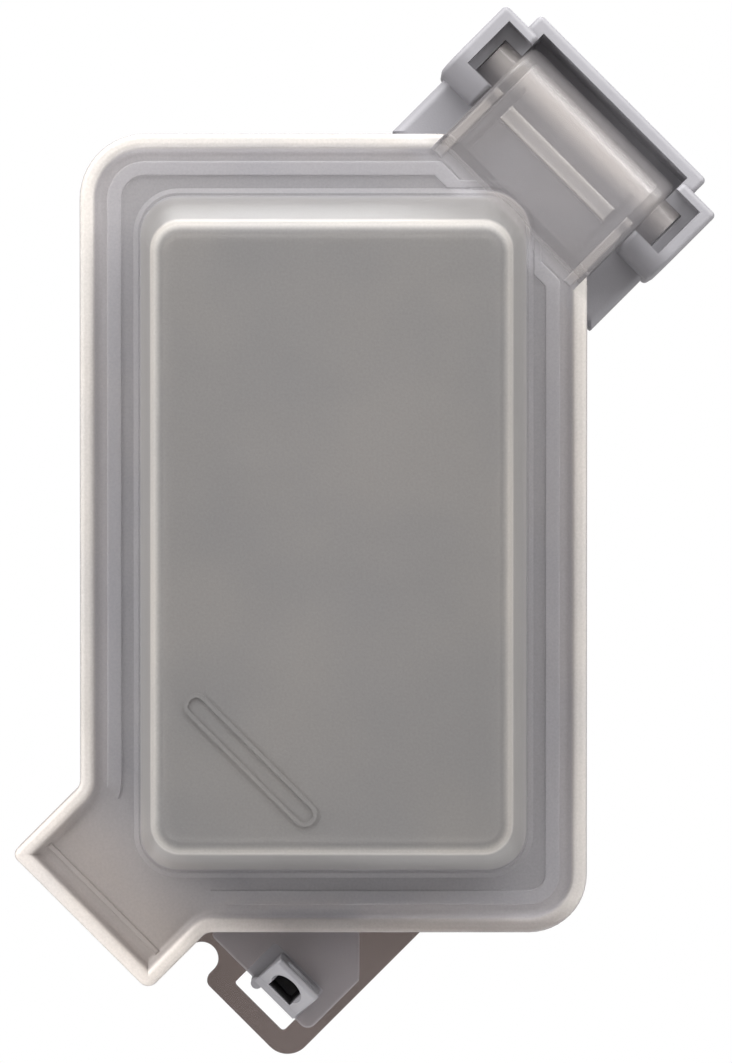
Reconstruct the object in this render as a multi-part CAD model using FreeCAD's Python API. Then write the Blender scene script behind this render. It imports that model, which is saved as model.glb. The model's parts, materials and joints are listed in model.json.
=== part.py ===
import FreeCAD, Part

import math
import os

# One-gang weatherproof while-in-use outlet cover with a hinged bubble lid. Millimetres.
# X points right and Z up as the cover hangs on its wall; the wall face is the plane y = 0
# and the cover stands out from it towards -Y. A distance called "out" is measured from the wall.
# The hinge, the cord hood and the latch are set at 45 degrees, so they are drawn in a
# diagonal frame: "across" runs to the lower right, "up" runs to the upper right.

# Levels out from the wall
GASKET_OUT = 2.5
FLOOR_OUT = 5.0
BASE_RIM_OUT = 24.1
SKIRT_BACK_OUT = 16.0
TAB_BACK_OUT = 18.2
TAB_FRONT_OUT = 20.4
FLANGE_BACK_OUT = 24.4
FLANGE_FRONT_OUT = 26.6
LID_RIM_OUT = 28.6
PANEL_OUT = 74.0
HINGE_OUT = 19.4

# Lid, seen from the front
LID_HALF_WIDTH = 50.7
LID_HALF_HEIGHT = 79.85
LID_CORNER_R = 13.0
LID_FOOT_CORNER_R = 11.6
CHAMFER_CORNER_R = 6.0
HOOD_ROOT_R = 3.0
HOOD_TIP_R = (1.6, 2.2)
LID_WALL = 2.0
RIM_WIDTH = 2.4
RIM_SLOPE = 1.6
RIM_ROUND = 1.15
WELL_ROUND = 1.2
BAND_START = 5.4
BAND_END = 8.4
BAND_HEIGHT = 0.5
BAND_SWELL = 2.6
BAND_ROUND = 0.3
BAND_FOOT_UP = -68.0

# Bubble of the lid
DOME_HALF_WIDTH = 39.0
DOME_HALF_HEIGHT = 68.0
DOME_CORNER_R = 8.0
DOME_SIDE_LEAN = 4.6
DOME_END_LEAN = 7.8
DOME_WALL = 2.2
DOME_EDGE_R = 2.6
DOME_TOP_CORNER_R = 5.6
DOME_FOOT = 1.0
MARK_ACROSS = 19.0
MARK_UP = -40.9
MARK_LENGTH = 34.0
MARK_WIDTH = 4.8
MARK_LINE = 0.8
MARK_HEIGHT = 0.4

# Hinge, centred on the upper right corner
HINGE_ACROSS = -20.6
HINGE_UP = 90.2
CHAMFER_BELOW_HINGE = 17.0
ARM_HALF_WIDTH = 20.1
ARM_R = 7.6
ARM_SKIN = 2.2
ARM_FRONT_OUT = HINGE_OUT + ARM_R
ARM_CURL = -35.0
ARM_RIB = 14.6
ARM_RIB_WIDTH = 1.0
ARM_RIB_BACK_OUT = 22.0
CROSS_RIB_LOW = -8.1
CROSS_RIB_HIGH = -4.6
CROSS_RIB_HEIGHT = 0.8
ARM_RAIL = 17.3
ARM_RAIL_WIDTH = 2.0
ARM_RAIL_HEIGHT = 0.5
ARM_RAIL_END = -4.0
ARM_EDGE_R = 1.4
CHEEK = 2.8
CHEEK_R = 6.0
TRUNNION_R = 4.6
TRUNNION_CLEARANCE = 0.08
TRUNNION_END = 24.6
TRUNNION_END_GAP = 0.4
EAR_INNER = 20.4
EAR_OUTER = 29.8
EAR_TOP = 9.0
EAR_FRONT_OUT = 26.0
EAR_CURVE_START = -2.7
EAR_CURVE_R = 7.0
EAR_EDGE_R = 1.0
POCKET_END = 27.0
POCKET_ABOVE = 7.1
POCKET_BELOW = 4.7
CRADLE_LIP = 2.0
CORE_WALL = 2.4
BACKSTOP_HALF_WIDTH = 23.5
BACKSTOP_INNER = 10.3
BACKSTOP_OUTER = 12.7
BACKSTOP_OUT = 24.6
HOUSING_HALF_WIDTH = 28.5
HOUSING_OUT = 13.0
HOUSING_EDGE_R = 2.0

# Cord hood, at the lower left corner
HOOD_LEFT = -0.2
HOOD_RIGHT = 38.5
HOOD_END = -91.0
HOOD_RIB_FROM_END = 6.0
HOOD_RIB_WIDTH = 1.2
HOOD_RIB_HEIGHT = 0.4

# Latch tab of the lid and padlock ear of the base
TAB_LEFT = 45.2
TAB_RIGHT = 69.2
TAB_END = -82.4
TAB_NOTCH_TOP = -76.2
TAB_CORNER_R = (1.8, 5.0)
SLOT_LEFT = 50.0
SLOT_RIGHT = 64.0
SLOT_TOP = -66.7
SLOT_END = -78.5
SLOT_R = 0.8
SHELF_LEFT = 39.6
SHELF_RIGHT = 67.7
SHELF_END = -75.2
SHELF_SIDE_X = 5.1
SHELF_OUT = 17.6
SHELF_WALL = 2.4
SHELF_GAP = 1.2
SHELF_CORNER_R = (1.5, 2.0, 0.5)
LUG_END = SHELF_END
LUG_LEFT = 52.6
LUG_RIGHT = 63.5
LUG_TOP = -67.4
LUG_CREST = 1.2
LUG_OUT = 29.4
LUG_RAMP_END = -74.0
LUG_EDGE_R = 0.5
NUB_R = 1.2
LUG_WALL = 1.6
LUG_WELL_HALF_WIDTH = 3.0
PADLOCK_R = 3.6
PADLOCK_ACROSS = 58.0
PADLOCK_OUT = 24.8

# Base
BASE_GAP = 5.3
BASE_WALL = 3.0
BASE_CORNER_R = 3.0
RIM_EDGE_R = 0.6
PORT_WALL_UP = -70.0
PORT_ACROSS = (13.4, 27.8)
PORT_WIDTH = 9.0
PORT_FLOOR_OUT = 8.0
PORT_WEB = 1.2
WEB_GAP = 0.1
WEB_TOP_GAP = 0.4
WEB_SETBACK = 0.6
PULL_WIDTH = 1.6
PULL_HEIGHT = 5.6
WING_END = -81.0
FLOOR_TONGUE_END = -76.0
WING_WALL = 2.0
WING_GAP = 1.2
DRAIN_GAP_LEFT = -24.0
DRAIN_GAP_RIGHT = 3.0
DRAIN_GAP_Z = (-76.3, -72.9)
FENCE_WALL = 1.2
FENCE_HEIGHT = 1.6

# Device opening and the insert that frames the device
OPENING_WIDTH = 40.0
OPENING_HEIGHT = 75.0
OPENING_CORNER_R = 3.0
INSERT_WIDTH = 47.0
INSERT_HEIGHT = 94.0
INSERT_CORNER_R = 4.0
INSERT_T = 2.0
SEAL_T = 0.8
DEVICE_WIDTH = 33.4
DEVICE_HEIGHT = 66.9
DEVICE_CORNER_R = 1.5
LIP_WIDTH = 1.2
LIP_HEIGHT = 0.8
LOCATING_GAP = 0.4

# Screws through the insert into the wall box, and spare holes for wall screws
DEVICE_SCREW_SPACING = 83.3
SCREW_R = 1.75
SCREW_HOLE_R = 2.2
SCREW_TIP_OUT = 0.3
SCREW_HEAD_R = 3.6
SCREW_HEAD_T = 2.2
DRIVE_SLOT = 0.9
WASHER_R = 4.2
WASHER_T = 1.0
CAPTIVE_R = 3.2
CAPTIVE_T = 0.5
CAPTIVE_BACK_OUT = 1.2
CAPTIVE_GAP = 0.6
WALL_HOLE_R = 2.25
GASKET_INSET = 1.0
WALL_HOLE_SPACING_X = 62.0
WALL_HOLE_SPACING_Z = 108.0
BOSS_R = 4.6
BOSS_HEIGHT = 1.2

ROOT_HALF = math.sqrt(0.5)
OUTWARDS = FreeCAD.Vector(0, -1, 0)
ACROSS = FreeCAD.Vector(ROOT_HALF, 0, -ROOT_HALF)
UP = FreeCAD.Vector(ROOT_HALF, 0, ROOT_HALF)


def diagonal(across, up):
    """A point of the diagonal frame as (x, z)."""
    return (across + up) * ROOT_HALF, (up - across) * ROOT_HALF


def outline(corners):
    """A closed wire in the plane y = 0 through (x, z, radius) corners, each rounded by its radius."""
    count = len(corners)
    places = [FreeCAD.Vector(x, 0, z) for x, z, _ in corners]
    arcs = []
    for i, (here, (_, _, radius)) in enumerate(zip(places, corners)):
        back = (places[i - 1] - here).normalize()
        ahead = (places[(i + 1) % count] - here).normalize()
        half_angle = back.getAngle(ahead) / 2
        run = radius / math.tan(half_angle)
        middle = (back + ahead).normalize() * (radius / math.sin(half_angle) - radius)
        arcs.append((here + back * run, here + middle, here + ahead * run, radius))
    edges = []
    for i, (start, middle, end, radius) in enumerate(arcs):
        if radius > 0:
            edges.append(Part.Arc(start, middle, end).toShape())
        following = arcs[(i + 1) % count][0]
        if (following - end).Length > 1e-6:
            edges.append(Part.LineSegment(end, following).toShape())
    return Part.Wire(edges)


def diagonal_outline(corners):
    """The same, with the corners given in the diagonal frame."""
    return outline([diagonal(across, up) + (radius,) for across, up, radius in corners])


def rectangle(half_width, half_height, radius=0.0):
    return outline([(-half_width, half_height, radius), (half_width, half_height, radius),
                    (half_width, -half_height, radius), (-half_width, -half_height, radius)])


def diagonal_rectangle(left, right, bottom, top, radius=0.0):
    return diagonal_outline([(left, top, radius), (right, top, radius),
                             (right, bottom, radius), (left, bottom, radius)])


def at_out(wire, out):
    moved = wire.copy()
    moved.translate(OUTWARDS * out)
    return moved


def slab(wire, out_low, out_high):
    """A flat piece with the wire's outline between two levels."""
    return Part.Face(at_out(wire, out_low)).extrude(OUTWARDS * (out_high - out_low))


def inset(wire, distance):
    return wire.makeOffset2D(-distance, 0, False, False, False)


def ring(wire, width, out_low, out_high):
    """A wall that follows the inside of an outline."""
    return slab(wire, out_low, out_high).cut(slab(inset(wire, width), out_low - 1, out_high + 1))


def taper(low_wire, out_low, high_wire, out_high):
    return Part.makeLoft([at_out(low_wire, out_low), at_out(high_wire, out_high)], True, True)


def rod(x, z, radius, out_low, out_high):
    """A round piece that stands straight out from the wall."""
    return Part.makeCylinder(radius, out_high - out_low, FreeCAD.Vector(x, -out_low, z), OUTWARDS)


def hinge_rod(radius, v_start, v_end):
    """A round piece on the hinge line, between two distances from the hinge's middle."""
    x, z = diagonal(HINGE_ACROSS + v_start, HINGE_UP)
    return Part.makeCylinder(radius, v_end - v_start, FreeCAD.Vector(x, -HINGE_OUT, z), ACROSS)


def hinge_box(v_low, v_high, u_low, u_high, out_low, out_high):
    """A box beside the hinge line; u is the distance beyond the line, away from the lid."""
    return slab(diagonal_rectangle(HINGE_ACROSS + v_low, HINGE_ACROSS + v_high,
                                   HINGE_UP + u_low, HINGE_UP + u_high), out_low, out_high)


def profile_along_hinge(points, v_low, v_high):
    """A prism along the hinge line. Points are (u, out), or (u, out, "arc") for the middle of an arc."""
    def place(u, out):
        x, z = diagonal(HINGE_ACROSS + v_low, HINGE_UP + u)
        return FreeCAD.Vector(x, -out, z)

    edges = []
    closed = points + points[:1]
    i = 0
    while i < len(points):
        if len(closed[i + 1]) == 3:
            arc = Part.Arc(place(*closed[i]), place(*closed[i + 1][:2]), place(*closed[i + 2]))
            edges.append(arc.toShape())
            i += 2
        else:
            edges.append(Part.LineSegment(place(*closed[i]), place(*closed[i + 1])).toShape())
            i += 1
    return Part.Face(Part.Wire(edges)).extrude(ACROSS * (v_high - v_low))


def round_edges(shape, radius, wanted):
    """Fillet the edges that the test picks out."""
    return shape.makeFillet(radius, [edge for edge in shape.Edges if wanted(edge)])


def out_span(edge):
    """The lowest and highest level that an edge reaches."""
    box = edge.BoundBox
    return -box.YMax, -box.YMin


def lies_at(edge, out):
    low, high = out_span(edge)
    return abs(low - out) < 0.01 and abs(high - out) < 0.01


# ---------------------------------------------------------------- lid

def lid_outline():
    chamfer_sum = (HINGE_UP - CHAMFER_BELOW_HINGE) / ROOT_HALF
    foot_join_up = -(LID_HALF_HEIGHT / ROOT_HALF) + HOOD_RIGHT
    side_join_up = -(LID_HALF_WIDTH / ROOT_HALF) - HOOD_LEFT
    return outline([
        (-LID_HALF_WIDTH, LID_HALF_HEIGHT, LID_CORNER_R),
        (chamfer_sum - LID_HALF_HEIGHT, LID_HALF_HEIGHT, CHAMFER_CORNER_R),
        (LID_HALF_WIDTH, chamfer_sum - LID_HALF_WIDTH, CHAMFER_CORNER_R),
        (LID_HALF_WIDTH, -LID_HALF_HEIGHT, LID_FOOT_CORNER_R),
        diagonal(HOOD_RIGHT, foot_join_up) + (HOOD_ROOT_R,),
        diagonal(HOOD_RIGHT, HOOD_END) + (HOOD_TIP_R[1],),
        diagonal(HOOD_LEFT, HOOD_END) + (HOOD_TIP_R[0],),
        diagonal(HOOD_LEFT, side_join_up) + (HOOD_ROOT_R,),
    ])


def dome_outer():
    foot = rectangle(DOME_HALF_WIDTH, DOME_HALF_HEIGHT, DOME_CORNER_R)
    top = rectangle(DOME_HALF_WIDTH - DOME_SIDE_LEAN, DOME_HALF_HEIGHT - DOME_END_LEAN, DOME_TOP_CORNER_R)
    dome = taper(foot, FLANGE_BACK_OUT, top, PANEL_OUT)
    flare = taper(inset(foot, -DOME_FOOT), FLANGE_FRONT_OUT, foot, FLANGE_FRONT_OUT + DOME_FOOT)
    return round_edges(dome, DOME_EDGE_R, lambda e: lies_at(e, PANEL_OUT)).fuse(flare)


def dome_cavity():
    foot = rectangle(DOME_HALF_WIDTH - DOME_WALL, DOME_HALF_HEIGHT - DOME_WALL, DOME_CORNER_R - DOME_WALL)
    top = rectangle(DOME_HALF_WIDTH - DOME_SIDE_LEAN - DOME_WALL,
                    DOME_HALF_HEIGHT - DOME_END_LEAN - DOME_WALL, DOME_TOP_CORNER_R - DOME_WALL)
    cavity = taper(foot, FLANGE_BACK_OUT - 0.5, top, PANEL_OUT - DOME_WALL)
    return round_edges(cavity, DOME_EDGE_R / 2, lambda e: lies_at(e, PANEL_OUT - DOME_WALL))


def flange_band():
    """A low step that runs round the flange, but not into the hood, and swells round the dome's corner."""
    edge = lid_outline()
    dome = rectangle(DOME_HALF_WIDTH, DOME_HALF_HEIGHT, DOME_CORNER_R)
    top = FLANGE_FRONT_OUT + BAND_HEIGHT
    outer = slab(inset(edge, BAND_START), FLANGE_BACK_OUT, top)
    outer = outer.fuse(slab(inset(dome, -BAND_SWELL), FLANGE_BACK_OUT, top))
    inner = slab(inset(edge, BAND_END), FLANGE_BACK_OUT - 1, top + 1)
    dome_room = slab(inset(dome, -DOME_FOOT), FLANGE_BACK_OUT - 1, top + 1)
    band = outer.cut([inner, dome_room]).removeSplitter()
    band = round_edges(band, BAND_ROUND, lambda e: lies_at(e, top))
    hood = diagonal_rectangle(HOOD_LEFT - BAND_END, HOOD_RIGHT + BAND_END, HOOD_END, BAND_FOOT_UP)
    return band.cut(slab(hood, FLANGE_BACK_OUT - 1, top + 1))


def hood_rib():
    """A low rib across the hood, near its open end."""
    start = HOOD_END + HOOD_RIB_FROM_END
    side = RIM_WIDTH + RIM_SLOPE
    rib = slab(diagonal_rectangle(HOOD_LEFT + side, HOOD_RIGHT - side, start, start + HOOD_RIB_WIDTH),
               FLANGE_BACK_OUT, FLANGE_FRONT_OUT + HOOD_RIB_HEIGHT)
    return round_edges(rib, HOOD_RIB_HEIGHT * 0.8, lambda e: lies_at(e, FLANGE_FRONT_OUT + HOOD_RIB_HEIGHT))


def tray():
    """Flange, rolled rim and skirt of the lid."""
    edge = lid_outline()
    shell = slab(edge, SKIRT_BACK_OUT, LID_RIM_OUT)
    shell = shell.cut(slab(inset(edge, LID_WALL), SKIRT_BACK_OUT - 1, FLANGE_BACK_OUT))
    well = taper(inset(edge, RIM_WIDTH + RIM_SLOPE), FLANGE_FRONT_OUT, inset(edge, RIM_WIDTH), LID_RIM_OUT)
    shell = round_edges(shell.cut(well), WELL_ROUND, lambda e: lies_at(e, FLANGE_FRONT_OUT))
    shell = round_edges(shell, RIM_ROUND, lambda e: lies_at(e, LID_RIM_OUT))
    arm_room = hinge_box(-ARM_HALF_WIDTH, ARM_HALF_WIDTH, -CHAMFER_BELOW_HINGE - RIM_WIDTH - RIM_SLOPE - 1,
                         0, ARM_FRONT_OUT, LID_RIM_OUT + 1)
    return shell.cut(arm_room)


def around_hinge(radius, degrees):
    """A point (u, out) on a circle round the hinge line; 90 degrees is straight out."""
    angle = math.radians(degrees)
    return radius * math.cos(angle), HINGE_OUT + radius * math.sin(angle)


def hinge_arm():
    """The clear arm: a plate that curls over the hinge line, cheeks, ribs, rails and trunnions."""
    inner_r = ARM_R - ARM_SKIN
    start = -CHAMFER_BELOW_HINGE - RIM_WIDTH - RIM_SLOPE - 1
    middle = (90 + ARM_CURL) / 2
    skin = [(start, ARM_FRONT_OUT), (0, ARM_FRONT_OUT), around_hinge(ARM_R, middle) + ("arc",),
            around_hinge(ARM_R, ARM_CURL), around_hinge(inner_r, ARM_CURL),
            around_hinge(inner_r, middle) + ("arc",), (0, ARM_FRONT_OUT - ARM_SKIN),
            (start, ARM_FRONT_OUT - ARM_SKIN)]
    arm = profile_along_hinge(skin, -ARM_HALF_WIDTH, ARM_HALF_WIDTH)
    arm = round_edges(arm, ARM_EDGE_R, is_arm_side)
    back = -CHAMFER_BELOW_HINGE
    cheek = [(back, SKIRT_BACK_OUT), (back, ARM_FRONT_OUT - ARM_EDGE_R), (0, HINGE_OUT + CHEEK_R),
             (CHEEK_R, HINGE_OUT, "arc"), (0, HINGE_OUT - CHEEK_R)]
    for side in (-1, 1):
        low, high = sorted((side * (ARM_HALF_WIDTH - CHEEK), side * ARM_HALF_WIDTH))
        arm = arm.fuse(profile_along_hinge(cheek, low, high))
        low, high = sorted((side * (ARM_HALF_WIDTH - CHEEK), side * TRUNNION_END))
        arm = arm.fuse(hinge_rod(TRUNNION_R, low, high))
        low, high = sorted((side * ARM_RIB, side * (ARM_RIB + ARM_RIB_WIDTH)))
        arm = arm.fuse(hinge_box(low, high, back, 0, ARM_RIB_BACK_OUT, ARM_FRONT_OUT - ARM_SKIN))
        low, high = sorted((side * ARM_RAIL, side * (ARM_RAIL + ARM_RAIL_WIDTH)))
        rail_front = ARM_FRONT_OUT + ARM_RAIL_HEIGHT
        rail = hinge_box(low, high, start, ARM_RAIL_END, ARM_FRONT_OUT - ARM_SKIN, rail_front)
        arm = arm.fuse(round_edges(rail, ARM_RAIL_HEIGHT * 0.7, lambda e: lies_at(e, rail_front)))
    cross_front = ARM_FRONT_OUT + CROSS_RIB_HEIGHT
    cross = hinge_box(-ARM_RIB, ARM_RIB, CROSS_RIB_LOW, CROSS_RIB_HIGH, ARM_RIB_BACK_OUT, cross_front)
    return arm.fuse(round_edges(cross, CROSS_RIB_HEIGHT * 0.5, lambda e: lies_at(e, cross_front)))


def is_arm_side(edge):
    """Whether an edge runs along one side of the arm's outer skin."""
    return 10 < edge.Length < 30 and out_span(edge)[1] > ARM_FRONT_OUT - 0.01


def latch_tab():
    """A flat plate below the lid with a notch beside the hood and a slot over the padlock lug."""
    inside = HOOD_RIGHT - LID_WALL / 2
    notch_r = (TAB_LEFT - HOOD_RIGHT) / 2 - 0.05
    notch_side = TAB_NOTCH_TOP - notch_r - 0.1
    plate = slab(diagonal_outline([
        (inside, -60.0, 0), (inside, notch_side, 0), (HOOD_RIGHT, notch_side, 0),
        (HOOD_RIGHT, TAB_NOTCH_TOP, notch_r), (TAB_LEFT, TAB_NOTCH_TOP, notch_r),
        (TAB_LEFT, TAB_END, TAB_CORNER_R[0]), (TAB_RIGHT, TAB_END, TAB_CORNER_R[1]), (TAB_RIGHT, -40.0, 0),
    ]), TAB_BACK_OUT, TAB_FRONT_OUT)
    slot = diagonal_rectangle(SLOT_LEFT, SLOT_RIGHT, SLOT_END, SLOT_TOP, SLOT_R)
    plate = plate.cut(slab(slot, TAB_BACK_OUT - 1, TAB_FRONT_OUT + 1))
    return plate.cut(slab(inset(lid_outline(), LID_WALL / 2), TAB_BACK_OUT - 1, TAB_FRONT_OUT + 1))


def raised_mark():
    """A plain raised outline near the lower left corner of the panel, in place of any wording."""
    low, high = PANEL_OUT - 0.2, PANEL_OUT + MARK_HEIGHT
    half_length, half_width = MARK_LENGTH / 2, MARK_WIDTH / 2
    pill = diagonal_rectangle(MARK_ACROSS - half_length, MARK_ACROSS + half_length,
                              MARK_UP - half_width, MARK_UP + half_width, half_width - 0.05)
    return ring(pill, MARK_LINE, low, high)


def lid():
    shell = tray().fuse([flange_band(), dome_outer(), hood_rib()])
    shell = shell.fuse(hinge_arm()).cut(dome_cavity())
    shell = shell.fuse([latch_tab(), raised_mark()])
    over_shelf = slab(inset(shelf_outline(), -SHELF_GAP), SKIRT_BACK_OUT - 1, TAB_BACK_OUT)
    return shell.cut(over_shelf).removeSplitter()


# --------------------------------------------------------------- base

def base_outline():
    """The outer face of the base's wall, with one corner cut for the hinge and one for the cords."""
    half_width = LID_HALF_WIDTH - BASE_GAP
    half_height = LID_HALF_HEIGHT - BASE_GAP
    chamfer_sum = (HINGE_UP - CHAMFER_BELOW_HINGE - BASE_GAP) / ROOT_HALF
    port_sum = PORT_WALL_UP / ROOT_HALF
    return outline([
        (-half_width, half_height, LID_CORNER_R - BASE_GAP),
        (chamfer_sum - half_height, half_height, BASE_CORNER_R),
        (half_width, chamfer_sum - half_width, BASE_CORNER_R),
        (half_width, -half_height, LID_FOOT_CORNER_R - BASE_GAP),
        (port_sum + half_height, -half_height, BASE_CORNER_R),
        (-half_width, port_sum + half_width, BASE_CORNER_R),
    ])


def shelf_outline():
    """The ledge behind the latch tab."""
    side_up = SHELF_SIDE_X / ROOT_HALF - SHELF_RIGHT
    inside_z = BASE_GAP + BASE_WALL / 2 - LID_HALF_HEIGHT
    shelf_left_inside = SHELF_LEFT + inside_z / ROOT_HALF
    return outline([
        diagonal(SHELF_LEFT, shelf_left_inside) + (0,),
        diagonal(SHELF_LEFT, SHELF_END) + (SHELF_CORNER_R[0],),
        diagonal(SHELF_RIGHT, SHELF_END) + (SHELF_CORNER_R[1],),
        diagonal(SHELF_RIGHT, side_up) + (SHELF_CORNER_R[2],),
        (SHELF_SIDE_X, inside_z, 0),
    ])


def shelf():
    edge = shelf_outline()
    body = round_edges(slab(edge, GASKET_OUT, SHELF_OUT), RIM_EDGE_R, lambda e: lies_at(e, SHELF_OUT))
    return body.cut(slab(inset(edge, SHELF_WALL), 0, SHELF_OUT - SHELF_WALL))


def padlock_lug():
    """A lug that comes through the tab's slot: a steep ramp on a hollow post, with the shackle hole."""
    def place(up, out):
        x, z = diagonal(LUG_LEFT, up)
        return FreeCAD.Vector(x, -out, z)

    corners = [place(LUG_TOP, GASKET_OUT), place(LUG_TOP, LUG_OUT), place(LUG_TOP - LUG_CREST, LUG_OUT),
               place(LUG_RAMP_END, TAB_FRONT_OUT + LUG_EDGE_R), place(LUG_END, TAB_FRONT_OUT),
               place(LUG_END, GASKET_OUT)]
    lug = Part.Face(Part.makePolygon(corners + corners[:1])).extrude(ACROSS * (LUG_RIGHT - LUG_LEFT))
    lug = round_edges(lug, LUG_EDGE_R, lambda e: out_span(e)[1] > TAB_FRONT_OUT + LUG_EDGE_R + 0.1)
    nub_x, nub_z = diagonal(LUG_LEFT + NUB_R / 2, LUG_END)
    return lug.fuse(rod(nub_x, nub_z, NUB_R, GASKET_OUT, TAB_FRONT_OUT))


def shackle_room():
    """The shackle's hole, along the diagonal, and the well that it opens into."""
    x, z = diagonal(PADLOCK_ACROSS, LUG_TOP + 2)
    length = LUG_TOP - LUG_END + 4
    hole = Part.makeCylinder(PADLOCK_R, length, FreeCAD.Vector(x, -PADLOCK_OUT, z), UP * -1)
    well = diagonal_rectangle(PADLOCK_ACROSS - LUG_WELL_HALF_WIDTH, PADLOCK_ACROSS + LUG_WELL_HALF_WIDTH,
                              LUG_END + LUG_WALL, LUG_TOP - LUG_WALL)
    return [hole, slab(well, FLOOR_OUT, PADLOCK_OUT)]


def hinge_ear(side):
    """One ear: a rounded block with an open pocket and a snap-in cradle for a trunnion."""
    low, high = sorted((side * EAR_INNER, side * EAR_OUTER))
    foot = EAR_CURVE_START - EAR_CURVE_R
    curve_back = EAR_FRONT_OUT - EAR_CURVE_R
    slope = EAR_CURVE_R * ROOT_HALF
    ear = [(EAR_TOP, GASKET_OUT), (EAR_TOP, EAR_FRONT_OUT), (EAR_CURVE_START, EAR_FRONT_OUT),
           (EAR_CURVE_START - slope, curve_back + slope, "arc"), (foot, curve_back), (foot, GASKET_OUT)]
    block = profile_along_hinge(ear, low, high)
    block = round_edges(block, EAR_EDGE_R, lambda e: out_span(e)[1] > curve_back + 0.1)
    low, high = sorted((side * EAR_INNER, side * POCKET_END))
    shoulder = HINGE_OUT + CRADLE_LIP
    block = block.cut(hinge_box(low, high, -POCKET_BELOW, POCKET_ABOVE, shoulder, EAR_FRONT_OUT + 1))
    low, high = sorted((side * (EAR_INNER - 1), side * (TRUNNION_END + TRUNNION_END_GAP)))
    return block.cut(hinge_rod(TRUNNION_R + TRUNNION_CLEARANCE, low, high))


def hinge_housing():
    below = -CHAMFER_BELOW_HINGE - BASE_GAP
    body = hinge_box(-HOUSING_HALF_WIDTH, HOUSING_HALF_WIDTH, below - 2, EAR_TOP, GASKET_OUT, HOUSING_OUT)
    body = round_edges(body, HOUSING_EDGE_R, lambda e: lies_at(e, HOUSING_OUT))
    stop = hinge_box(-BACKSTOP_HALF_WIDTH, BACKSTOP_HALF_WIDTH, POCKET_ABOVE, BACKSTOP_OUTER,
                     GASKET_OUT, BACKSTOP_OUT)
    stop = round_edges(stop, EAR_EDGE_R, lambda e: out_span(e)[1] > GASKET_OUT + 1)
    body = body.fuse([stop, hinge_ear(-1), hinge_ear(1)])
    body = body.cut(hinge_box(-EAR_INNER, EAR_INNER, below, BACKSTOP_INNER, FLOOR_OUT, EAR_FRONT_OUT + 1))
    for side in (-1, 1):
        low, high = sorted((side * (EAR_INNER + CORE_WALL), side * (HOUSING_HALF_WIDTH - CORE_WALL)))
        body = body.cut(hinge_box(low, high, below + 4, POCKET_ABOVE - 1, 0, HOUSING_OUT - CORE_WALL))
    return body


def cord_guards():
    """Two wings and a floor tongue that lead the cords out under the hood."""
    left, right = HOOD_LEFT + LID_WALL + WING_GAP, HOOD_RIGHT - LID_WALL - WING_GAP
    root = PORT_WALL_UP + 4
    tongue = slab(diagonal_rectangle(left, right, FLOOR_TONGUE_END, root), GASKET_OUT, FLOOR_OUT)
    wings = [slab(diagonal_rectangle(start, start + WING_WALL, WING_END, root), GASKET_OUT, BASE_RIM_OUT)
             for start in (left, right - WING_WALL)]
    return [tongue] + wings


def port_box(across, width, out_low, out_high):
    """A space through the cord wall, at one of the cord ports."""
    return slab(diagonal_rectangle(across - width / 2, across + width / 2,
                                   PORT_WALL_UP - 1, PORT_WALL_UP + BASE_WALL + 1), out_low, out_high)


def base_housing():
    edge = base_outline()
    half_screws = DEVICE_SCREW_SPACING / 2
    wall = ring(edge, BASE_WALL, GASKET_OUT, BASE_RIM_OUT)
    wall = round_edges(wall, RIM_EDGE_R, lambda e: lies_at(e, BASE_RIM_OUT))
    base = wall.fuse(slab(edge, GASKET_OUT, FLOOR_OUT))
    margin = LOCATING_GAP + FENCE_WALL
    fence = rectangle(INSERT_WIDTH / 2 + margin, INSERT_HEIGHT / 2 + margin, INSERT_CORNER_R + margin)
    bosses = [rod(x, z, BOSS_R, GASKET_OUT, FLOOR_OUT + BOSS_HEIGHT) for x, z in wall_holes()]
    base = base.fuse([ring(fence, FENCE_WALL, GASKET_OUT, FLOOR_OUT + FENCE_HEIGHT)] + bosses)
    base = base.fuse([shelf(), padlock_lug(), hinge_housing()] + cord_guards())
    drain_low, drain_high = DRAIN_GAP_Z
    base = base.cut(slab(outline([(DRAIN_GAP_LEFT, drain_low, 0), (DRAIN_GAP_LEFT + 3, drain_high, 0),
                                  (DRAIN_GAP_RIGHT, drain_high, 0), (DRAIN_GAP_RIGHT, drain_low, 0)]),
                         FLOOR_OUT, BASE_RIM_OUT + 1))
    opening = rectangle(OPENING_WIDTH / 2, OPENING_HEIGHT / 2, OPENING_CORNER_R)
    base = base.cut(slab(opening, 0, FLOOR_OUT + 1))
    holes = [rod(x, z, WALL_HOLE_R, 0, FLOOR_OUT + 5) for x, z in wall_holes()]
    holes += [rod(0, z, SCREW_HOLE_R, 0, FLOOR_OUT + 5) for z in (-half_screws, half_screws)]
    ports = [port_box(across, PORT_WIDTH, PORT_FLOOR_OUT, BASE_RIM_OUT + 1) for across in PORT_ACROSS]
    return base.cut(holes + ports + shackle_room()).removeSplitter()


def wall_holes():
    return [(side_x * WALL_HOLE_SPACING_X / 2, side_z * WALL_HOLE_SPACING_Z / 2)
            for side_x in (-1, 1) for side_z in (-1, 1)]


# ------------------------------------------------- seals, insert, screws

def wall_gasket():
    pad = slab(inset(base_outline(), GASKET_INSET), 0, GASKET_OUT)
    opening = rectangle(OPENING_WIDTH / 2, OPENING_HEIGHT / 2, OPENING_CORNER_R)
    pad = pad.cut(slab(opening, -1, GASKET_OUT + 1))
    holes = [rod(x, z, WALL_HOLE_R, -1, GASKET_OUT + 1) for x, z in wall_holes()]
    holes += [rod(0, z, CAPTIVE_R + CAPTIVE_GAP, -1, GASKET_OUT + 1)
              for z in (-DEVICE_SCREW_SPACING / 2, DEVICE_SCREW_SPACING / 2)]
    return pad.cut(holes)


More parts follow.
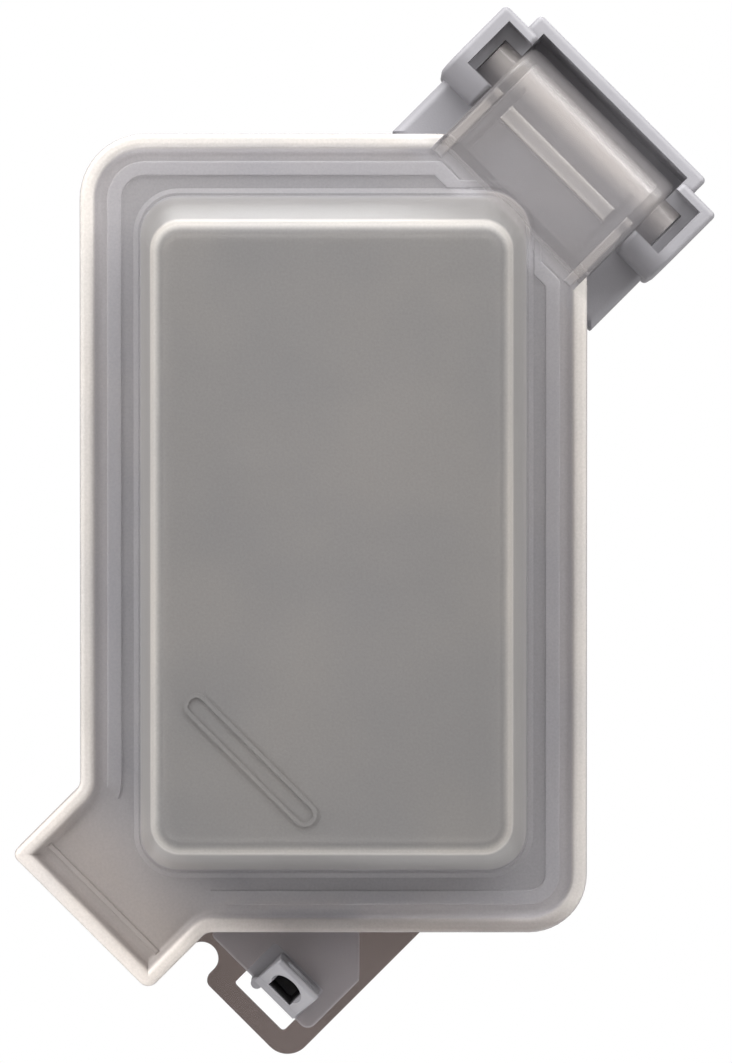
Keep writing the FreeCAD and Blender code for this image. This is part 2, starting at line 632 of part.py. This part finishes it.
def framed_plate(out_low, out_high, hole_r):
    """A plate of the insert's outline with the device opening and the two screw holes."""
    plate = slab(rectangle(INSERT_WIDTH / 2, INSERT_HEIGHT / 2, INSERT_CORNER_R), out_low, out_high)
    plate = plate.cut(slab(rectangle(DEVICE_WIDTH / 2, DEVICE_HEIGHT / 2, DEVICE_CORNER_R),
                           out_low - 1, out_high + 1))
    return plate.cut([rod(0, z, hole_r, out_low - 1, out_high + 1)
                      for z in (-DEVICE_SCREW_SPACING / 2, DEVICE_SCREW_SPACING / 2)])


def insert_gasket():
    return framed_plate(FLOOR_OUT, FLOOR_OUT + SEAL_T, SCREW_HOLE_R)


def device_insert():
    back = FLOOR_OUT + SEAL_T
    lip = rectangle(DEVICE_WIDTH / 2 + LIP_WIDTH, DEVICE_HEIGHT / 2 + LIP_WIDTH,
                    DEVICE_CORNER_R + LIP_WIDTH)
    plate = framed_plate(back, back + INSERT_T, SCREW_HOLE_R)
    return plate.fuse(ring(lip, LIP_WIDTH, back, back + INSERT_T + LIP_HEIGHT)).removeSplitter()


def screw_seat():
    """The level of the insert's front face, where the sealing washers sit."""
    return FLOOR_OUT + SEAL_T + INSERT_T


def sealing_washer(z):
    return rod(0, z, WASHER_R, screw_seat(), screw_seat() + WASHER_T).cut(
        rod(0, z, SCREW_R, screw_seat() - 1, screw_seat() + WASHER_T + 1))


def captive_washer(z):
    """A thin washer behind the base that keeps a loosened screw from falling out."""
    return rod(0, z, CAPTIVE_R, CAPTIVE_BACK_OUT, CAPTIVE_BACK_OUT + CAPTIVE_T).cut(
        rod(0, z, SCREW_R, 0, GASKET_OUT))


def mounting_screw(z):
    under_head = screw_seat() + WASHER_T
    top = under_head + SCREW_HEAD_T
    head = rod(0, z, SCREW_HEAD_R, under_head, top)
    head = round_edges(head, SCREW_HEAD_T * 0.6, lambda e: lies_at(e, top))
    slot = slab(rectangle(SCREW_HEAD_R + 1, DRIVE_SLOT / 2), top - SCREW_HEAD_T / 2, top + 1)
    slot.translate(FreeCAD.Vector(0, 0, z))
    shank = rod(0, z, SCREW_R, SCREW_TIP_OUT, under_head)
    shank = shank.makeChamfer(0.5, [edge for edge in shank.Edges if lies_at(edge, SCREW_TIP_OUT)])
    return head.cut(slot).fuse(shank).removeSplitter()


def cord_port_web(across):
    """The break-out closure of one cord port, with a pull rib near its top."""
    half_width = PORT_WIDTH / 2 - WEB_GAP
    back = PORT_WALL_UP + WEB_SETBACK
    top = BASE_RIM_OUT - WEB_TOP_GAP
    plug = slab(diagonal_rectangle(across - half_width, across + half_width, back, back + PORT_WEB),
                PORT_FLOOR_OUT, top)
    pull = slab(diagonal_rectangle(across - PULL_WIDTH / 2, across + PULL_WIDTH / 2, back,
                                   PORT_WALL_UP + BASE_WALL), top - PULL_HEIGHT, top)
    return plug.fuse(pull).removeSplitter()


def build():
    upper, lower = DEVICE_SCREW_SPACING / 2, -DEVICE_SCREW_SPACING / 2
    return {
        "base_housing": base_housing(),
        "wall_gasket": wall_gasket(),
        "lid": lid(),
        "device_insert": device_insert(),
        "insert_gasket": insert_gasket(),
        "mounting_screw_upper": mounting_screw(upper),
        "mounting_screw_lower": mounting_screw(lower),
        "sealing_washer_upper": sealing_washer(upper),
        "sealing_washer_lower": sealing_washer(lower),
        "captive_washer_upper": captive_washer(upper),
        "captive_washer_lower": captive_washer(lower),
        "cord_port_web_left": cord_port_web(PORT_ACROSS[0]),
        "cord_port_web_right": cord_port_web(PORT_ACROSS[1]),
    }


def main():
    os.makedirs("parts", exist_ok=True)
    for name, shape in build().items():
        box = shape.BoundBox
        size = f"{box.XLength:6.1f} x {box.YLength:5.1f} x {box.ZLength:6.1f} mm"
        print(f"{name:22s} valid {shape.isValid()} solids {len(shape.Solids)} size {size}")
        shape.exportStep(f"parts/{name}.step")


main()
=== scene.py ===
import json
import math

import bpy
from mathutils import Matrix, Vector


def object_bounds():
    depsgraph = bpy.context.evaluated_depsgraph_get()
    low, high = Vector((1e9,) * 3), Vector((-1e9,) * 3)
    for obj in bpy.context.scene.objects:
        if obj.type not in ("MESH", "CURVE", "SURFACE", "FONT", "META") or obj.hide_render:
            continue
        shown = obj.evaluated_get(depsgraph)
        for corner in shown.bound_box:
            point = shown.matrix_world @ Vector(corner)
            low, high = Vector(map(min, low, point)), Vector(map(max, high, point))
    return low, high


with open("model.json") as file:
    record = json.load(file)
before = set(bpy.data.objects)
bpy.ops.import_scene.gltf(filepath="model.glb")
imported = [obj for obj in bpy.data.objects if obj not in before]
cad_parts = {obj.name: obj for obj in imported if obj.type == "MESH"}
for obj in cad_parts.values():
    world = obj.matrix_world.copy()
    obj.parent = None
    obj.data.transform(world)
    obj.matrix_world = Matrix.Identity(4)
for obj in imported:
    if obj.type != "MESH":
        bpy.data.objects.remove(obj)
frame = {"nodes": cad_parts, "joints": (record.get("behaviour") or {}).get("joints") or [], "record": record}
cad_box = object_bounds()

# A weatherproof in-use outlet cover: frosted polycarbonate lid, grey moulded base, foam, screws.
# Metres, in the frame of the CAD model: +X right, +Z up, the wall at y = 0, the viewer towards -Y.

MM = 0.001
WHITE = (1.0, 1.0, 1.0)
ROOT_HALF = math.sqrt(0.5)

RIGHT = (1.0, 0.0, 0.0)
TOP = (0.0, 0.0, 1.0)
OUT = (0.0, -1.0, 0.0)
TO_HINGE = (ROOT_HALF, 0.0, ROOT_HALF)
ALONG_HINGE = (ROOT_HALF, 0.0, -ROOT_HALF)
HINGE = frame["joints"][0]["pos_m"]
HINGE_UP = (HINGE[0] + HINGE[2]) * ROOT_HALF

# Where the lid's zones begin and end, in millimetres. These lie along OUT.
BUBBLE_FOOT = (29.0, 33.0)
BUBBLE_EDGE_BACK = (68.0, 71.5)
BUBBLE_EDGE_FRONT = (73.3, 73.95)
RIM_CROWN_BACK = (27.6, 28.3)
RIM_CROWN_FRONT = (28.8, 29.2)
RIDGE_FOOT = (27.1, 27.4)

# RIM_SIDE lies along RIGHT and the next three along TOP; the rim is alike on both sides of the middle.
RIM_SIDE = (41.0, 42.0)
RIM_END = (70.0, 71.0)
LOW_RIM = (-78.0, -73.0)
TAB_TOP = (-80.2, -79.7)

# These lie along the diagonals: TAB_SIDE along ALONG_HINGE, HOOD along TO_HINGE.
TAB_SIDE = (38.2, 38.8)
HOOD = (-80.0, -62.0)

# On the hinge arm, along TO_HINGE and from the hinge line; CROSS_RIB_EDGE is from the rib's middle.
ARM_START = (-22.0, -19.0)
BARREL_RISE = (-2.5, 1.0)
BARREL_FALL = (2.5, 6.0)
CROSS_RIB_DROP = 6.35
CROSS_RIB_EDGE = (0.6, 1.5)

# How strongly the cross rib's middle takes the painted ridge highlight, against 1 at its edges.
CROSS_RIB_MIDDLE_SHARE = 0.35

# The colours of the lid's zones.
FLANGE_COLOUR = (0.52, 0.505, 0.525)
BUBBLE_COLOUR = (0.232, 0.224, 0.222)
HOOD_COLOUR = (0.43, 0.388, 0.370)
ARM_COLOUR = (0.44, 0.417, 0.422)
# Painted highlight on the arm's rails, cross rib and barrel crown.
RIDGE_PAINTED_HIGHLIGHT_COLOUR = (0.62, 0.575, 0.55)
TAB_COLOUR = (0.33, 0.265, 0.255)
# Painted highlight on the bubble's rounded edge.
BUBBLE_EDGE_PAINTED_HIGHLIGHT_COLOUR = (0.61, 0.58, 0.545)
# Painted highlight on the rim's crown.
RIM_PAINTED_HIGHLIGHT_COLOUR = (0.92, 0.875, 0.82)
# Painted shade on the rim at the lid's lower end.
LOW_RIM_PAINTED_SHADE_COLOUR = (0.42, 0.38, 0.355)
# A dimmer painted highlight on the rim at the hood.
HOOD_RIM_DIMMER_HIGHLIGHT_COLOUR = (0.72, 0.67, 0.63)

# How much of what lies behind each zone is covered: 1 is all of it.
FLANGE_COVER = 0.50
BUBBLE_COVER = 0.96
HOOD_COVER = 0.93
ARM_COVER = 0.28
RIDGE_COVER = 0.45
TAB_COVER = 0.18

# Roughness, and how clear the plastic is (the shader's transmission weight).
FROSTED_ROUGHNESS = (0.52, 0.60)
POLISHED_ROUGHNESS = 0.24
FROSTED_CLARITY = 0.55
POLISHED_CLARITY = 0.45
RIM_CLARITY = 0.15


# ---------------------------------------------------------------- node helpers

def new_material(name):
    material = bpy.data.materials.new(name)
    material.use_nodes = True
    tree = material.node_tree
    shader = tree.nodes["Principled BSDF"]
    return material, tree, shader


def add(tree, kind, **inputs):
    """A node with its unlinked inputs set by name."""
    node = tree.nodes.new(kind)
    for name, value in inputs.items():
        node.inputs[name.replace("_", " ")].default_value = value
    return node


def feed(tree, socket, value):
    """Links a node's output to the socket, or sets the socket to a plain value."""
    if hasattr(value, "links"):
        tree.links.new(value, socket)
    else:
        socket.default_value = value


def position(tree):
    return tree.nodes.new("ShaderNodeTexCoord").outputs["Object"]


def noise(tree, where, size, detail=2.0, roughness=0.5):
    """Noise with features of about the given size in metres."""
    node = add(tree, "ShaderNodeTexNoise", Scale=1.0 / size, Detail=detail, Roughness=roughness)
    tree.links.new(where, node.inputs["Vector"])
    return node.outputs["Fac"]


def ramp(tree, value, low, high, from_low=0.0, from_high=1.0):
    """The value mapped to a new range and kept inside it."""
    node = tree.nodes.new("ShaderNodeMapRange")
    node.clamp = True
    limits = {"From Min": from_low, "From Max": from_high, "To Min": low, "To Max": high}
    for socket, number in limits.items():
        node.inputs[socket].default_value = number
    tree.links.new(value, node.inputs["Value"])
    return node.outputs["Result"]


def rising(tree, value, limits, origin=0.0):
    """0 before the limits, 1 after them. The limits are in millimetres from the origin."""
    start, end = limits
    return ramp(tree, value, 0.0, 1.0, origin + start * MM, origin + end * MM)


def falling(tree, value, limits, origin=0.0):
    """1 before the limits, 0 after them. The limits are in millimetres from the origin."""
    start, end = limits
    return ramp(tree, value, 1.0, 0.0, origin + start * MM, origin + end * MM)


def mix_colour(tree, factor, first, second):
    node = tree.nodes.new("ShaderNodeMix")
    node.data_type = "RGBA"
    tree.links.new(factor, node.inputs["Factor"])
    for socket, colour in ((node.inputs[6], first), (node.inputs[7], second)):
        feed(tree, socket, colour if hasattr(colour, "links") else (*colour, 1.0))
    return node.outputs[2]


def multiply_colour(tree, first, second):
    node = tree.nodes.new("ShaderNodeMix")
    node.data_type = "RGBA"
    node.blend_type = "MULTIPLY"
    node.inputs["Factor"].default_value = 1.0
    tree.links.new(first, node.inputs[6])
    tree.links.new(second, node.inputs[7])
    return node.outputs[2]


def mix_value(tree, factor, first, second):
    node = tree.nodes.new("ShaderNodeMix")
    node.data_type = "FLOAT"
    tree.links.new(factor, node.inputs[0])
    feed(tree, node.inputs[2], first)
    feed(tree, node.inputs[3], second)
    return node.outputs[0]


def math_node(tree, operation, first, second):
    node = tree.nodes.new("ShaderNodeMath")
    node.operation = operation
    feed(tree, node.inputs[0], first)
    feed(tree, node.inputs[1], second)
    return node.outputs[0]


def both(tree, first, second):
    return math_node(tree, "MULTIPLY", first, second)


def either(tree, first, second):
    return math_node(tree, "MAXIMUM", first, second)


def absolute(tree, value):
    return math_node(tree, "ABSOLUTE", value, 0.0)


def along(tree, where, direction):
    """How far a point lies along a direction."""
    node = tree.nodes.new("ShaderNodeVectorMath")
    node.operation = "DOT_PRODUCT"
    node.inputs[1].default_value = direction
    tree.links.new(where, node.inputs[0])
    return node.outputs["Value"]


def bump(tree, shader, layers):
    """Stacks bump layers of (height, depth in metres) under the shader's normal."""
    normal = None
    for height, depth in layers:
        node = tree.nodes.new("ShaderNodeBump")
        node.inputs["Distance"].default_value = depth
        tree.links.new(height, node.inputs["Height"])
        if normal is not None:
            tree.links.new(normal, node.inputs["Normal"])
        normal = node.outputs["Normal"]
    tree.links.new(normal, shader.inputs["Normal"])


# ------------------------------------------------------------- the lid's zones
# Each is 1 in its zone and 0 elsewhere.

def bubble_zone(tree, where):
    return rising(tree, along(tree, where, OUT), BUBBLE_FOOT)


def bubble_edge_highlight_zone(tree, where):
    """The rounded edge round the panel, painted lighter than the bubble's walls as a highlight."""
    out = along(tree, where, OUT)
    return both(tree, rising(tree, out, BUBBLE_EDGE_BACK), falling(tree, out, BUBBLE_EDGE_FRONT))


def rim_zone(tree, where):
    """The crown of the rolled rim, outside the bubble, where a highlight is painted."""
    out = along(tree, where, OUT)
    crown = both(tree, rising(tree, out, RIM_CROWN_BACK), falling(tree, out, RIM_CROWN_FRONT))
    beside = rising(tree, absolute(tree, along(tree, where, RIGHT)), RIM_SIDE)
    above = rising(tree, absolute(tree, along(tree, where, TOP)), RIM_END)
    return both(tree, crown, either(tree, beside, above))


def low_rim_painted_shade_zone(tree, where):
    """The lower end of the lid, where the rim gets painted shade."""
    return falling(tree, along(tree, where, TOP), LOW_RIM)


def hood_zone(tree, where):
    """The cord hood at the corner opposite the hinge."""
    return falling(tree, along(tree, where, TO_HINGE), HOOD)


def tab_zone(tree, where):
    """The polished latch tab, below the rim and to the right of the hood."""
    right_of_hood = rising(tree, along(tree, where, ALONG_HINGE), TAB_SIDE)
    below_rim = falling(tree, along(tree, where, TOP), TAB_TOP)
    return both(tree, right_of_hood, below_rim)


def arm_zone(tree, where):
    """The polished hinge arm beyond the rim."""
    return rising(tree, along(tree, where, TO_HINGE), ARM_START, HINGE_UP)


def barrel_highlight_zone(tree, where):
    """The crown of the hinge arm's barrel, where a highlight is painted, fading on both sides."""
    up = along(tree, where, TO_HINGE)
    rise = rising(tree, up, BARREL_RISE, HINGE_UP)
    return both(tree, rise, falling(tree, up, BARREL_FALL, HINGE_UP))


def arm_ridge_highlight_zone(tree, where, arm):
    """The rails and the cross rib that stand proud of the hinge arm, where highlights are painted; the rib's
    middle is fainter.
    """
    proud = rising(tree, along(tree, where, OUT), RIDGE_FOOT)
    rib_middle = HINGE_UP - CROSS_RIB_DROP * MM
    from_middle = absolute(tree, math_node(tree, "SUBTRACT", along(tree, where, TO_HINGE), rib_middle))
    edge_start, edge_end = CROSS_RIB_EDGE
    # A painted highlight on the rib's edges, fainter in its middle.
    rib_edge_highlight = ramp(tree, from_middle, CROSS_RIB_MIDDLE_SHARE, 1.0, edge_start * MM, edge_end * MM)
    return both(tree, both(tree, arm, proud), rib_edge_highlight)


# ------------------------------------------------------------------- materials

def frosted_polycarbonate():
    """Grey-brown polycarbonate: frosted, polished at the arm and the tab, with painted highlights on the
    rim, the bubble's edge and the arm's ridges and barrel, and painted shade on the lower rim.
    """
    material, tree, shader = new_material("frosted_polycarbonate")
    where = position(tree)
    haze = noise(tree, where, 26 * MM)
    grain = noise(tree, where, 0.5 * MM, roughness=0.6)
    bubble = bubble_zone(tree, where)
    tab = tab_zone(tree, where)
    arm = arm_zone(tree, where)
    hood = hood_zone(tree, where)
    rim = rim_zone(tree, where)
    # The ridge mask marks the painted highlights on the arm's rails, cross rib and barrel crown.
    ridge = either(tree, arm_ridge_highlight_zone(tree, where, arm), barrel_highlight_zone(tree, where))
    polished = either(tree, tab, arm)

    # The rim's crown gets a painted highlight, with painted shade at the lid's lower end and a dimmer
    # painted highlight at the hood.
    rim_painted_light_and_shade = mix_colour(tree, low_rim_painted_shade_zone(tree, where), RIM_PAINTED_HIGHLIGHT_COLOUR, LOW_RIM_PAINTED_SHADE_COLOUR)
    rim_painted_light_and_shade = mix_colour(tree, hood, rim_painted_light_and_shade, HOOD_RIM_DIMMER_HIGHLIGHT_COLOUR)
    colour = mix_colour(tree, bubble, FLANGE_COLOUR, BUBBLE_COLOUR)
    painted = (
        (hood, HOOD_COLOUR),
        (arm, ARM_COLOUR),
        (ridge, RIDGE_PAINTED_HIGHLIGHT_COLOUR),
        (tab, TAB_COLOUR),
        # Painted highlight on the bubble's rounded edge.
        (bubble_edge_highlight_zone(tree, where), BUBBLE_EDGE_PAINTED_HIGHLIGHT_COLOUR),
        (rim, rim_painted_light_and_shade),
    )
    for zone, zone_colour in painted:
        colour = mix_colour(tree, zone, colour, zone_colour)
    clouds = ramp(tree, haze, 0.0, 1.0, 0.35, 0.65)
    mottle = mix_colour(tree, clouds, (0.96, 0.965, 0.975), (1.04, 1.03, 1.015))
    pepper = ramp(tree, grain, 0.0, 1.0, 0.3, 0.7)
    speckle = mix_colour(tree, pepper, (1.05, 1.05, 1.05), (0.92, 0.92, 0.92))
    speckle = mix_colour(tree, polished, speckle, WHITE)
    colour = multiply_colour(tree, multiply_colour(tree, colour, mottle), speckle)
    tree.links.new(colour, shader.inputs["Base Color"])

    cover = mix_value(tree, bubble, FLANGE_COVER, BUBBLE_COVER)
    covered = ((hood, HOOD_COVER), (arm, ARM_COVER), (ridge, RIDGE_COVER), (tab, TAB_COVER))
    for zone, zone_cover in covered:
        cover = mix_value(tree, zone, cover, zone_cover)
    tree.links.new(cover, shader.inputs["Alpha"])
    clarity = mix_value(tree, polished, FROSTED_CLARITY, POLISHED_CLARITY)
    clarity = mix_value(tree, rim, clarity, RIM_CLARITY)
    tree.links.new(clarity, shader.inputs["Transmission Weight"])
    roughness = mix_value(tree, polished, ramp(tree, haze, *FROSTED_ROUGHNESS), POLISHED_ROUGHNESS)
    tree.links.new(roughness, shader.inputs["Roughness"])
    shader.inputs["IOR"].default_value = 1.585
    shader.inputs["Sheen Weight"].default_value = 0.14
    shader.inputs["Sheen Roughness"].default_value = 0.45
    shader.inputs["Sheen Tint"].default_value = (1.0, 0.97, 0.95, 1.0)

    frosted = math_node(tree, "SUBTRACT", 1.0, polished)
    pits = both(tree, noise(tree, where, 0.35 * MM), frosted)
    flow = both(tree, noise(tree, where, 9 * MM, detail=1.0), frosted)
    bump(tree, shader, [(pits, 0.02 * MM), (flow, 0.15 * MM)])
    return material


def moulded_plastic(name, light, dark, roughness):
    """Opaque moulded plastic with a fine eroded grain and faint flow clouds."""
    material, tree, shader = new_material(name)
    where = position(tree)
    clouds = noise(tree, where, 22 * MM, 3.0)
    grain = noise(tree, where, 0.45 * MM, 3.0, 0.6)
    colour = mix_colour(tree, ramp(tree, clouds, 0.0, 1.0, 0.35, 0.65), dark, light)
    tree.links.new(colour, shader.inputs["Base Color"])
    cloudy_roughness = ramp(tree, clouds, roughness, roughness + 0.1)
    tree.links.new(cloudy_roughness, shader.inputs["Roughness"])
    shader.inputs["IOR"].default_value = 1.53
    sink = noise(tree, where, 14 * MM, 1.0)
    bump(tree, shader, [(grain, 0.04 * MM), (sink, 0.12 * MM)])
    return material


def foam():
    material, tree, shader = new_material("closed_cell_foam")
    cell_size = 0.55 * MM
    cells = add(tree, "ShaderNodeTexVoronoi", Scale=1.0 / cell_size)
    tree.links.new(position(tree), cells.inputs["Vector"])
    walls = ramp(tree, cells.outputs["Distance"], 1.0, 0.0, 0.1, 0.55)
    colour = mix_colour(tree, walls, (0.030, 0.030, 0.032), (0.012, 0.012, 0.013))
    tree.links.new(colour, shader.inputs["Base Color"])
    shader.inputs["Roughness"].default_value = 0.85
    bump(tree, shader, [(walls, 0.12 * MM)])
    return material


def zinc_plate():
    material, tree, shader = new_material("zinc_plate")
    spangle = noise(tree, position(tree), 0.9 * MM, 3.0, 0.6)
    colour = mix_colour(tree, spangle, (0.52, 0.51, 0.47), (0.72, 0.71, 0.68))
    tree.links.new(colour, shader.inputs["Base Color"])
    shader.inputs["Metallic"].default_value = 1.0
    tree.links.new(ramp(tree, spangle, 0.22, 0.42), shader.inputs["Roughness"])
    bump(tree, shader, [(spangle, 0.02 * MM)])
    return material


def rubber():
    material, tree, shader = new_material("seal_rubber")
    where = position(tree)
    bloom = noise(tree, where, 1.5 * MM, 3.0)
    colour = mix_colour(tree, bloom, (0.012, 0.012, 0.012), (0.035, 0.034, 0.033))
    tree.links.new(colour, shader.inputs["Base Color"])
    tree.links.new(ramp(tree, bloom, 0.5, 0.7), shader.inputs["Roughness"])
    bump(tree, shader, [(noise(tree, where, 0.3 * MM), 0.03 * MM)])
    return material


def pressed_fibre():
    material, tree, shader = new_material("pressed_fibre")
    fibres = noise(tree, position(tree), 0.5 * MM, 5.0, 0.7)
    colour = mix_colour(tree, fibres, (0.16, 0.030, 0.018), (0.34, 0.085, 0.050))
    tree.links.new(colour, shader.inputs["Base Color"])
    shader.inputs["Roughness"].default_value = 0.75
    bump(tree, shader, [(fibres, 0.05 * MM)])
    return material


def dress_nodes():
    """Gives every CAD node its material."""
    base = moulded_plastic("moulded_base", (0.250, 0.246, 0.262), (0.222, 0.218, 0.233), 0.46)
    insert = moulded_plastic("moulded_insert", (0.290, 0.285, 0.296), (0.255, 0.250, 0.260), 0.42)
    by_slot = {
        "frosted_lid": frosted_polycarbonate(),
        "base_grey": base,
        "insert_grey": insert,
        "foam": foam(),
        "zinc_steel": zinc_plate(),
        "seal_rubber": rubber(),
        "fibre": pressed_fibre(),
    }
    for part in frame["record"]["subparts"]:
        mesh = frame["nodes"][part["node"]].data
        mesh.materials.clear()
        mesh.materials.append(by_slot[part["material_slot"]])


# ----------------------------------------------------------------- the studio

FLOOR_DROP = 0.16
FLOOR_RADIUS = 0.60
MIDDLE = (0, -0.03, 0)
SMOKE = (0.105, 0.086, 0.079)
ROOM_LIGHT = (0.200, 0.184, 0.178)

CAMERA_DISTANCE = 1.0
CAMERA_RIGHT = 1.5 * MM
CAMERA_RAISE = 18 * MM
CAMERA_TARGET = Vector((6.5 * MM, -27.0 * MM, 0.4 * MM))
VIEW_HEIGHT = 212.6 * MM
SENSOR_HEIGHT = 24.0


def studio_floor():
    bpy.ops.mesh.primitive_circle_add(vertices=96, radius=FLOOR_RADIUS, fill_type="NGON",
                                      location=(0, 0, cad_box[0][2] - FLOOR_DROP))
    floor = bpy.context.object
    floor.name = "studio_floor"
    material, tree, shader = new_material("pale_floor")
    shader.inputs["Base Color"].default_value = (0.80, 0.80, 0.80, 1.0)
    shader.inputs["Roughness"].default_value = 0.7
    floor.data.materials.append(material)


def studio_world():
    """White where the camera sees it directly, smoky through clear plastic, and a dim light."""
    world = bpy.data.worlds.new("studio")
    bpy.context.scene.world = world
    world.use_nodes = True
    tree = world.node_tree
    background = tree.nodes["Background"]
    ray = tree.nodes.new("ShaderNodeLightPath")
    unhindered = ramp(tree, ray.outputs["Transparent Depth"], 1.0, 0.0)
    seen = mix_colour(tree, unhindered, SMOKE, WHITE)
    colour = mix_colour(tree, ray.outputs["Is Camera Ray"], ROOM_LIGHT, seen)
    tree.links.new(colour, background.inputs["Color"])


def area_light(name, place, target, size, watts):
    data = bpy.data.lights.new(name, "AREA")
    data.shape = "RECTANGLE"
    data.size, data.size_y = size
    data.energy = watts
    lamp = bpy.data.objects.new(name, data)
    lamp.location = place
    lamp.rotation_euler = (Vector(target) - Vector(place)).to_track_quat("-Z", "Y").to_euler()
    bpy.context.scene.collection.objects.link(lamp)


def camera():
    data = bpy.data.cameras.new("camera")
    data.sensor_fit = "VERTICAL"
    data.sensor_height = SENSOR_HEIGHT
    data.lens = SENSOR_HEIGHT * CAMERA_DISTANCE / VIEW_HEIGHT
    eye = bpy.data.objects.new("camera", data)
    eye.location = CAMERA_TARGET + Vector((CAMERA_RIGHT, -CAMERA_DISTANCE, CAMERA_RAISE))
    eye.rotation_euler = (CAMERA_TARGET - eye.location).to_track_quat("-Z", "Y").to_euler()
    bpy.context.scene.collection.objects.link(eye)
    bpy.context.scene.camera = eye


def studio():
    bpy.context.scene.view_settings.view_transform = "Standard"
    studio_world()
    studio_floor()
    area_light("top", (0.0, -0.24, 0.52), (0, -0.03, 0.02), (0.7, 0.3), 5.5)
    area_light("left", (-0.70, -0.40, 0.30), MIDDLE, (0.5, 0.5), 7.8)
    area_light("right", (0.65, -0.40, 0.42), MIDDLE, (0.5, 0.5), 5.2)
    area_light("front", (0.2, -1.4, 0.5), MIDDLE, (0.9, 0.9), 4.4)
    area_light("back", (0.1, 0.7, 0.6), (0, 0, 0), (0.8, 0.4), 5)
    camera()


dress_nodes()
studio()
